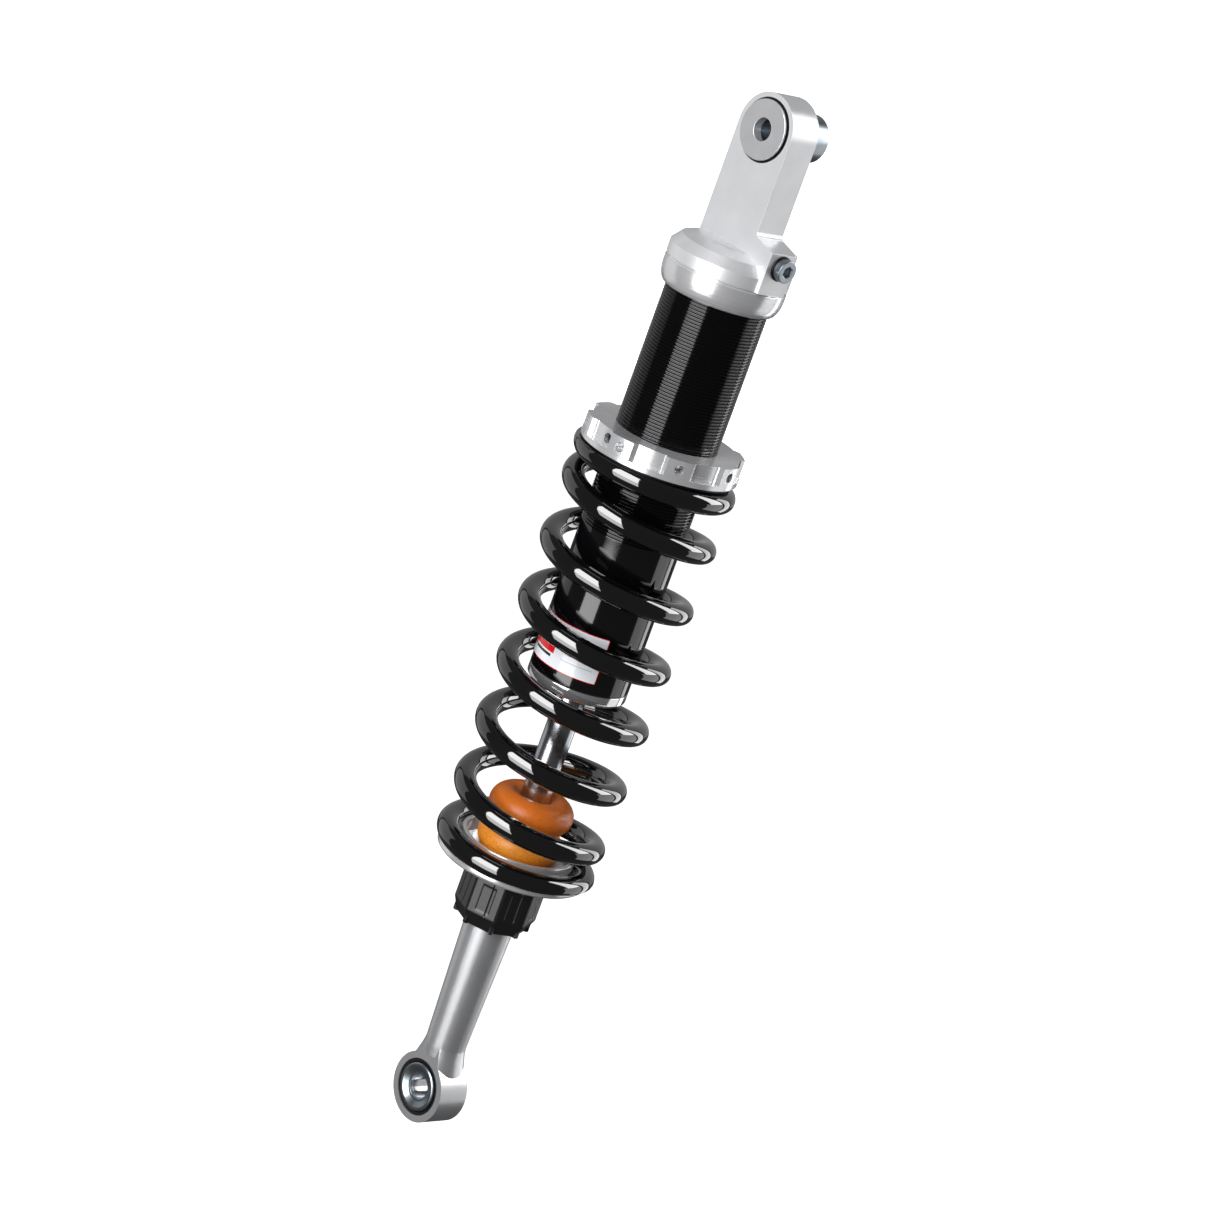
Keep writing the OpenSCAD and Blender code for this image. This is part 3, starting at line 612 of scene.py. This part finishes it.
def buildDamperTube():
    tube = damperTube
    low, high = span("damper_tube")
    crestRadius = high.x
    rootRadius = crestRadius - tube["depth"]
    # where crest and root begin and end within one pitch
    crestEnd = tube["crest"]
    rootStart = (1 + crestEnd - tube["root"]) / 2
    rootEnd = rootStart + tube["root"]
    profile = [(0, crestRadius), (crestEnd, crestRadius), (rootStart, rootRadius), (rootEnd, rootRadius)]
    smoothRadius, chamfer = tube["smoothRadius"], tube["chamfer"]
    foot = [(tube["bore"], low.z), (smoothRadius - chamfer, low.z), (smoothRadius, low.z + chamfer),
            (smoothRadius, tube["threadLow"] - tube["relief"])]
    crown = [(crestRadius, high.z), (tube["bore"], high.z)]
    turns = int((high.z - tube["threadLow"]) / tube["pitch"]) - 1
    columns = tube["columns"]
    threadRows = turns * len(profile) + 1
    points = []
    for column in range(columns):
        angle = tau * column / columns
        outline = list(foot)
        for row in range(threadRows):
            turn, part = divmod(row, len(profile))
            share, radius = profile[part]
            rise = (turn + share + column / columns) * tube["pitch"]
            outline.append((radius, tube["threadLow"] + rise))
        outline += crown
        points += [(r * cos(angle), r * sin(angle), z) for r, z in outline]
    rows = len(foot) + threadRows + len(crown)
    faces = wrapFaces(columns, rows)
    # the last column meets the first one pitch further up
    faces = [face for face in faces if face[0] // rows != columns - 1]
    last = (columns - 1) * rows
    lower, upper, step = len(foot), len(foot) + threadRows - 1, len(profile)
    for row in range(lower - 1):
        faces.append((last + row, row, row + 1, last + row + 1))
    faces.append((last + lower - 1, lower - 1, *range(lower, lower + step + 1), last + lower))
    for row in range(lower, upper - step):
        faces.append((last + row, row + step, row + step + 1, last + row + 1))
    faces.append((*range(last + upper - step, last + upper + 2), upper + 1, upper))
    faces.append((last + upper + 1, upper + 1, upper + 2, last + upper + 2))
    faces.append((last + upper + 2, upper + 2, 0, last))
    addPiece("damper_tube_threaded", points, faces, tube)


buildDamperTube()

endRing = {"node": "tube_end_ring", "body": "damper", "slot": "machined_aluminium",
           "finish": finishes["polished"], "easing": 0.4, "bore": 10.4, "spigot": 19.95, "lip": 216.3,
           "chamfer": 1}


def buildEndRing():
    low, high = span("tube_end_ring")
    ring = endRing
    outline = [(ring["bore"], low.z), (high.x - ring["chamfer"], low.z), (high.x, low.z + ring["chamfer"]),
               (high.x, ring["lip"]), (ring["spigot"], ring["lip"]), (ring["spigot"], high.z),
               (ring["bore"], high.z)]
    addTurned("tube_end_ring_turned", outline, ring)


buildEndRing()


def buildLabel():
    # a curved film with round corners, thick enough to be a solid
    label = dict(printedLabel, finish=finishes["film"])
    low, high = span("body_label")
    radius, corner = label["radius"], label["corner"]
    start, end = radians(label["startTurn"]), radians(label["endTurn"])
    columns, steps = label["columns"], label["cornerSteps"]
    cornerTurn = corner / radius
    rounding = [cornerTurn * (1 - cos(pi / 2 * step / steps)) for step in range(steps)]
    turns = [start + turn for turn in rounding]
    turns += [start + cornerTurn + (end - start - 2 * cornerTurn) * step / columns
              for step in range(columns + 1)]
    turns += [end - turn for turn in reversed(rounding)]
    points = []
    for angle in turns:
        inset = max(0, cornerTurn - (angle - start), cornerTurn - (end - angle)) * radius
        drop = corner - (max(corner ** 2 - inset ** 2, 0)) ** 0.5
        for reach, height in ((0, low.z + drop), (label["thickness"], low.z + drop),
                              (label["thickness"], high.z - drop), (0, high.z - drop)):
            points.append(((radius + reach) * cos(angle), (radius + reach) * sin(angle), height))
    faces = []
    for column in range(len(turns) - 1):
        for row in range(4):
            after = (row + 1) % 4
            faces.append((column * 4 + row, column * 4 + 4 + row, column * 4 + 4 + after, column * 4 + after))
    faces += [(0, 1, 2, 3), tuple(len(points) - 4 + row for row in range(4))]
    addPiece("body_label_film", points, faces, label)


buildLabel()
print("damper tube made")


# preload ring and washer

preloadRing = {"node": "preload_ring", "body": "collar", "slot": "machined_aluminium",
               "finish": finishes["turned"], "edge": 0.4}
addEasedCopy("preload_ring_machined", preloadRing)
ringScrew = {"node": "ring_lock_screw", "body": "collar", "slot": "blackened_steel",
             "finish": finishes["oxide"], "edge": 0.2}
addEasedCopy("ring_lock_screw_blacked", ringScrew)

thrustWasher = {"node": "thrust_washer", "body": "washer", "slot": "blackened_steel",
                "finish": finishes["oxide"], "bore": 24.25, "easing": 0.3}
low, high = span("thrust_washer")
addTurned("thrust_washer_blacked", ringOutline(thrustWasher["bore"], high.x, low.z, high.z), thrustWasher)

# spring

spring = {"node": "spring", "slot": "black_enamel", "finish": finishes["enamel"],
          "coilRadius": 33.9, "wireRadius": 5.19, "turn": 42.8, "halfTurns": 13, "start": -1.7, "stop": 14.6,
          "highInset": 7.2, "lowInset": 5.4, "deadRise": 5.25,
          "split": 2.5,  # half turns; the split between the two pieces is behind the tube
          "ringsPerHalf": 44, "sides": 28, "sharpAngle": 50, "slopeStep": 0.01}


def coilHeight(k):
    # height of the wire's centre k half turns below the reference turn: closed, live and closed again
    low, high = span("spring")
    dead, turns = spring["deadRise"], spring["halfTurns"]
    top, bottom = high.z - spring["highInset"], low.z + spring["lowInset"]
    live = (top - bottom - dead) / (turns - 1)
    if k < 0:
        return top - dead * k
    if k < 1:
        return top - dead * k - (live - dead) * k * k / 2
    if k < turns - 1:
        return top - (dead + live) / 2 - live * (k - 1)
    if k < turns:
        return bottom + dead * (turns - k) + (live - dead) * (turns - k) ** 2 / 2
    return bottom - dead * (k - turns)


def buildSpring(name, first, last, lowerBody):
    # sweeps the round wire square to its own path, with the ends ground flat
    low, high = span("spring")
    rings = round((last - first) * spring["ringsPerHalf"])
    sides = spring["sides"]
    points, heights = [], []
    for ring in range(rings + 1):
        k = first + (last - first) * ring / rings
        angle = radians(spring["turn"] + 180 * k)
        rise = coilHeight(k + spring["slopeStep"]) - coilHeight(k - spring["slopeStep"])
        slope = rise / (2 * spring["slopeStep"] * pi * spring["coilRadius"])
        centre = Vector((cos(angle) * spring["coilRadius"], sin(angle) * spring["coilRadius"], coilHeight(k)))
        outward = Vector((cos(angle), sin(angle), 0))
        along = Vector((-sin(angle), cos(angle), slope)).normalized()
        upward = outward.cross(along)
        for side in range(sides):
            around = tau * side / sides
            point = centre + spring["wireRadius"] * (outward * cos(around) + upward * sin(around))
            point.z = min(high.z, max(low.z, point.z))
            points.append(point)
            heights.append(coilHeight(k))
    faces = [(ring * sides + side, ring * sides + (side + 1) % sides,
              (ring + 1) * sides + (side + 1) % sides, (ring + 1) * sides + side)
             for ring in range(rings) for side in range(sides)]
    faces += [tuple(range(sides)), tuple(rings * sides + side for side in range(sides))]
    piece = addPiece(name, points, faces, spring)
    if lowerBody == "rod":
        fixedHigh, fixedLow = coilHeight(spring["split"]), coilHeight(spring["halfTurns"])
    else:
        fixedHigh, fixedLow = coilHeight(0), coilHeight(spring["split"])
    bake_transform(piece)
    return piece


buildSpring("spring_upper_coils", spring["start"], spring["split"], "damper")
buildSpring("spring_lower_coils", spring["split"], spring["stop"], "rod")
print("spring made")


# rod, bump stop and seat

pistonRod = {"node": "piston_rod", "body": "rod", "slot": "hard_chrome", "finish": finishes["chrome"],
             "radius": 7, "spigot": 5, "neck": 122, "shoulder": 254.2, "easing": 0.4, "bore": 2}


def buildPistonRod():
    low, high = span("piston_rod")
    rod = pistonRod
    outline = [(rod["bore"], low.z), (rod["spigot"], low.z), (rod["spigot"], rod["neck"]),
               (rod["radius"], rod["neck"]), (rod["radius"], rod["shoulder"]),
               (rod["spigot"], rod["shoulder"]), (rod["spigot"], high.z), (rod["bore"], high.z)]
    addTurned("piston_rod_chromed", outline, rod, steps=96)


buildPistonRod()

bumpStop = {"node": "bump_stop", "body": "rod", "slot": "orange_urethane", "finish": finishes["urethane"],
            "bore": 7.15, "lobe": 8, "waist": 3.8, "lip": 3, "rimInset": 0.5, "rimWidth": 2.6,
            "rimDrop": 0.8, "footInset": 1, "footRise": 0.4, "columns": 144,
            "wobble": 0.12, "wobbleWaves": 3, "wobbleRise": 5, "wobbleFrom": 9, "wobbleFull": 14,
            "keep": 0.68}  # what is left of its length at full compression


def buildBumpStop():
    # two moulded lobes with a waist between them, and a rim that folds in to the rod
    low, high = span("bump_stop")
    stop = bumpStop
    outer, lobe = high.x, stop["lobe"]
    core = outer - lobe
    outline = [(stop["bore"], low.z + stop["footRise"]), (core + stop["footInset"], low.z)]
    for isLower, centre in ((True, low.z + lobe), (False, high.z - lobe)):
        for a in range(-80, 81, 10):
            radius = core + lobe * cos(radians(a))
            if isLower == (a > 0) and abs(a) > 45:
                radius = max(radius, core + stop["waist"])
            outline.append((radius, centre + lobe * sin(radians(a))))
    outline += [(core - stop["rimInset"], high.z),
                (stop["bore"] + stop["rimWidth"], high.z - stop["rimDrop"]),
                (stop["bore"], high.z - stop["lip"])]
    points = []
    for column in range(stop["columns"]):
        angle = tau * column / stop["columns"]
        for radius, height in outline:
            wave = sin(stop["wobbleWaves"] * angle + height / stop["wobbleRise"])
            swell = stop["wobble"] * wave * smooth(radius, stop["wobbleFrom"], stop["wobbleFull"])
            reach = radius + swell - stop["wobble"]
            points.append((reach * cos(angle), reach * sin(angle), height))
    piece = addPiece("bump_stop_moulded", points, wrapFaces(stop["columns"], len(outline)), stop)
    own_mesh(piece)


buildBumpStop()

springSeat = {"node": "lower_spring_seat", "body": "rod", "slot": "machined_aluminium",
              "finish": finishes["turned"], "easing": 0.45, "bore": 10.5, "floor": 123.5,
              "wallOuter": 27.4, "wallInner": 25.4, "rimInset": 1.5, "rimRise": 1.2}


def buildSpringSeat():
    low, high = span("lower_spring_seat")
    seat = springSeat
    outline = [(seat["bore"], low.z), (high.x - seat["rimInset"], low.z), (high.x, low.z + seat["rimRise"]),
               (high.x, seat["floor"]), (seat["wallOuter"], seat["floor"]), (seat["wallOuter"], high.z),
               (seat["wallInner"], high.z), (seat["wallInner"], seat["floor"]), (seat["bore"], seat["floor"])]
    addTurned("lower_spring_seat_turned", outline, seat)


buildSpringSeat()

seatCollar = {"node": "seat_collar", "body": "rod", "slot": "blackened_steel", "finish": finishes["oxide"],
              "bore": 10.5, "easing": 0.5}
low, high = span("seat_collar")
addTurned("seat_collar_blacked", ringOutline(seatCollar["bore"], high.x, low.z, high.z), seatCollar)
print("rod, bump stop and seat made")


# rebound knob

reboundKnob = {"node": "rebound_knob", "body": "knob", "slot": "black_nylon", "finish": finishes["nylon"],
               "facets": 8, "turn": 4, "apothem": 18.48, "cornerRadius": 19.7, "rim": 96.5,
               "footApothem": 15.4, "ribTurn": 3.2, "ribRadius": 18.4,
               "pocketTurn": 10.5, "pocketDepth": 0.22, "pocketLow": 98.5, "pocketHigh": 111.5,
               "grooveTurn": 5.5, "grooveDepth": 0.3, "grooveWidth": 0.9, "grooveRise": 1,
               "bore": 10.6, "mouthRadius": 12.45, "mouth": 96, "columnsPerFacet": 60, "rows": 60,
               "softTurn": 1, "softRise": 0.5, "footInset": 0.5, "topEase": 0.9, "sharpAngle": 45}


def knobRadius(turn, height):
    # radius of the knob in one direction: facets, eased corners, grip pockets, a tapered foot and corner ribs
    knob = reboundKnob
    facet = 360 / knob["facets"]
    offset = (turn - knob["turn"]) % facet - facet / 2
    risen = min(1, (height - knobLow) / (knob["rim"] - knobLow))
    apothem = knob["footApothem"] + (knob["apothem"] - knob["footApothem"]) * risen
    radius = min(apothem / cos(radians(offset)), knob["cornerRadius"])

    def above(value, limit, softness):
        # 0 below the limit and 1 above it, with a soft step
        return smooth(value, limit - softness, limit + softness)

    rib = 1 - above(facet / 2 - abs(offset), knob["ribTurn"], knob["softTurn"])
    radius = max(radius, radius + (knob["ribRadius"] - radius) * rib)
    pocket = 1 - above(abs(offset), knob["pocketTurn"], knob["softTurn"])
    pocket *= above(height, knob["pocketLow"], knob["softRise"])
    pocket *= 1 - above(height, knob["pocketHigh"], knob["softRise"])
    groove = max(0, 1 - abs(offset - knob["grooveTurn"]) / knob["grooveWidth"])
    groove *= smooth(height, knob["rim"], knob["rim"] + knob["grooveRise"])
    return radius - knob["pocketDepth"] * pocket - knob["grooveDepth"] * groove


knobLow, knobHigh = (corner.z for corner in span("rebound_knob"))


def buildKnob():
    knob = reboundKnob
    columns = knob["facets"] * knob["columnsPerFacet"]
    shoulder = knobHigh - knob["topEase"]
    heights = [knobLow + (shoulder - knobLow) * row / knob["rows"] for row in range(knob["rows"] + 1)]
    points = []
    for column in range(columns):
        turn = 360 * column / columns
        angle = radians(turn)
        outline = [(knob["mouthRadius"], knobLow), (knobRadius(turn, knobLow) - knob["footInset"], knobLow)]
        outline += [(knobRadius(turn, height), height) for height in heights[1:]]
        rim = knobRadius(turn, shoulder)
        for step in (30, 60, 90):
            ease = radians(step)
            outline.append((rim - knob["topEase"] * (1 - cos(ease)), shoulder + knob["topEase"] * sin(ease)))
        outline += [(knob["bore"], knobHigh), (knob["bore"], knob["mouth"]),
                    (knob["mouthRadius"], knob["mouth"])]
        points += [(radius * cos(angle), radius * sin(angle), height) for radius, height in outline]
    addPiece("rebound_knob_moulded", points, wrapFaces(columns, len(outline)), knob)


buildKnob()

# the lower eye takes the more metallic, darker copy of tumbled aluminium: painted shade
eyeShaft = {"node": "lower_eye_shaft", "body": "rod", "slot": "machined_aluminium",
            "finish": finishes["tumbledShaftShaded"], "edge": 0.5}
addEasedCopy("lower_eye_shaft_machined", eyeShaft)
print("knob and lower eye made")


# camera, floor and lights

camera = {"place": (1.05947, -1.14456, 0.71655), "aim": (0.00078, 0.00072, 0.25146), "roll": 20.03,
          "lens": 106.69, "sensor": 36, "clipStart": 0.05, "clipEnd": 40}


def addCamera():
    data = bpy.data.cameras.new("camera")
    data.lens, data.sensor_width = camera["lens"], camera["sensor"]
    data.clip_start, data.clip_end = camera["clipStart"], camera["clipEnd"]
    rig = bpy.data.objects.new("camera", data)
    place, aim = Vector(camera["place"]), Vector(camera["aim"])
    turn = (aim - place).to_track_quat("-Z", "Y").to_matrix().to_4x4()
    rig.matrix_world = Matrix.Translation(place) @ turn @ Matrix.Rotation(radians(camera["roll"]), 4, "Z")
    bpy.context.scene.collection.objects.link(rig)
    bpy.context.scene.camera = rig


addCamera()

studio = {"floorDrop": 0.9, "floorSize": 30, "paper": "#ffffff", "floorGlow": 1.0,
          "wallDistance": 2.4, "wallLow": -0.3, "wallHigh": 2.6, "wallGlow": 1.15,
          "wallTurn": 132.75, "wallSpread": 50, "wallSteps": 24,
          "worldGlow": 0.06}

# softboxes: direction in degrees, height of the middle, distance, width and height in metres, and brightness
softboxes = {
    "key_high": {"turn": -79, "height": 1.73, "distance": 2.2, "width": 1.51, "tall": 2.55, "watts": 88},
    "key_low": {"turn": -79, "height": -0.165, "distance": 2.2, "width": 1.51, "tall": 1.23, "watts": 23},
    "side_high": {"turn": 60, "height": 1.25, "distance": 1.3, "width": 0.55, "tall": 1.5, "watts": 13},
    "side_low": {"turn": 56, "height": 0, "distance": 1.3, "width": 0.75, "tall": 1, "watts": 2.1},
    "left_card": {"turn": -165, "height": 0.3, "distance": 2.0, "width": 1.6, "tall": 2.5, "watts": 5},
    "back_card": {"turn": 132, "height": 1.1, "distance": 2.3, "width": 3.5, "tall": 2.9, "watts": 7},
    "right_back": {"turn": 84, "height": 0.35, "distance": 2.0, "width": 0.5, "tall": 2.4, "watts": 8},
}


def glowMaterial(name, colour, glow):
    # matt paper with its own light, which keeps the background clean
    return startMaterial(name, {
        "Base Color": toLinear(colour), "Roughness": 0.9, "Specular IOR Level": 0,
        "Emission Color": toLinear(colour), "Emission Strength": glow,
    })[0]


def addStage():
    floorHeight = -studio["floorDrop"]
    half = studio["floorSize"] / 2
    mesh = bpy.data.meshes.new("floor")
    corners = [(-half, -half, floorHeight), (half, -half, floorHeight), (half, half, floorHeight),
               (-half, half, floorHeight)]
    mesh.from_pydata(corners, [], [(0, 1, 2, 3)])
    mesh.materials.append(glowMaterial("floor_paper", studio["paper"], studio["floorGlow"]))
    floor = bpy.data.objects.new("floor", mesh)
    floor.visible_glossy = False
    floor.visible_shadow = False
    floor.visible_diffuse = False
    points, steps = [], studio["wallSteps"]
    for step in range(steps + 1):
        angle = radians(studio["wallTurn"] + studio["wallSpread"] * (2 * step / steps - 1))
        for height in (studio["wallLow"], studio["wallHigh"]):
            points.append((studio["wallDistance"] * cos(angle), studio["wallDistance"] * sin(angle), height))
    faces = [(2 * step, 2 * step + 1, 2 * step + 3, 2 * step + 2) for step in range(steps)]
    mesh = bpy.data.meshes.new("wall")
    mesh.from_pydata(points, [], faces)
    mesh.materials.append(glowMaterial("wall_paper", studio["paper"], studio["wallGlow"]))
    wall = bpy.data.objects.new("wall", mesh)
    wall.visible_glossy = False
    wall.visible_diffuse = False
    for item in (floor, wall):
        bpy.context.scene.collection.objects.link(item)


addStage()


def addLights():
    for name, box in softboxes.items():
        data = bpy.data.lights.new(name, "AREA")
        data.shape, data.size, data.size_y, data.energy = "RECTANGLE", box["width"], box["tall"], box["watts"]
        lamp = bpy.data.objects.new(name, data)
        angle = radians(box["turn"])
        place = Vector((box["distance"] * cos(angle), box["distance"] * sin(angle), box["height"]))
        towards = Vector((0, 0, box["height"])) - place
        lamp.matrix_world = Matrix.Translation(place) @ towards.to_track_quat("-Z", "Y").to_matrix().to_4x4()
        lamp.visible_camera = False
        bpy.context.scene.collection.objects.link(lamp)


addLights()


def addWorld():
    # white to the camera, and nearly dark to the reflections, as a studio is
    world = bpy.data.worlds.new("studio")
    world.use_nodes = True
    tree = world.node_tree
    tree.nodes.clear()
    seen = addNode(tree, "Background", {"Color": toLinear("#ffffff"), "Strength": 1})
    dark = addNode(tree, "Background", {"Color": toLinear("#ffffff"), "Strength": studio["worldGlow"]})
    path = addNode(tree, "LightPath")
    mix = addNode(tree, "MixShader", links={0: path.outputs["Is Camera Ray"], 1: dark.outputs[0],
                                            2: seen.outputs[0]})
    addNode(tree, "OutputWorld", links={"Surface": mix.outputs[0]})
    bpy.context.scene.world = world


addWorld()
bpy.context.scene.view_settings.view_transform = "Standard"
print("studio made")
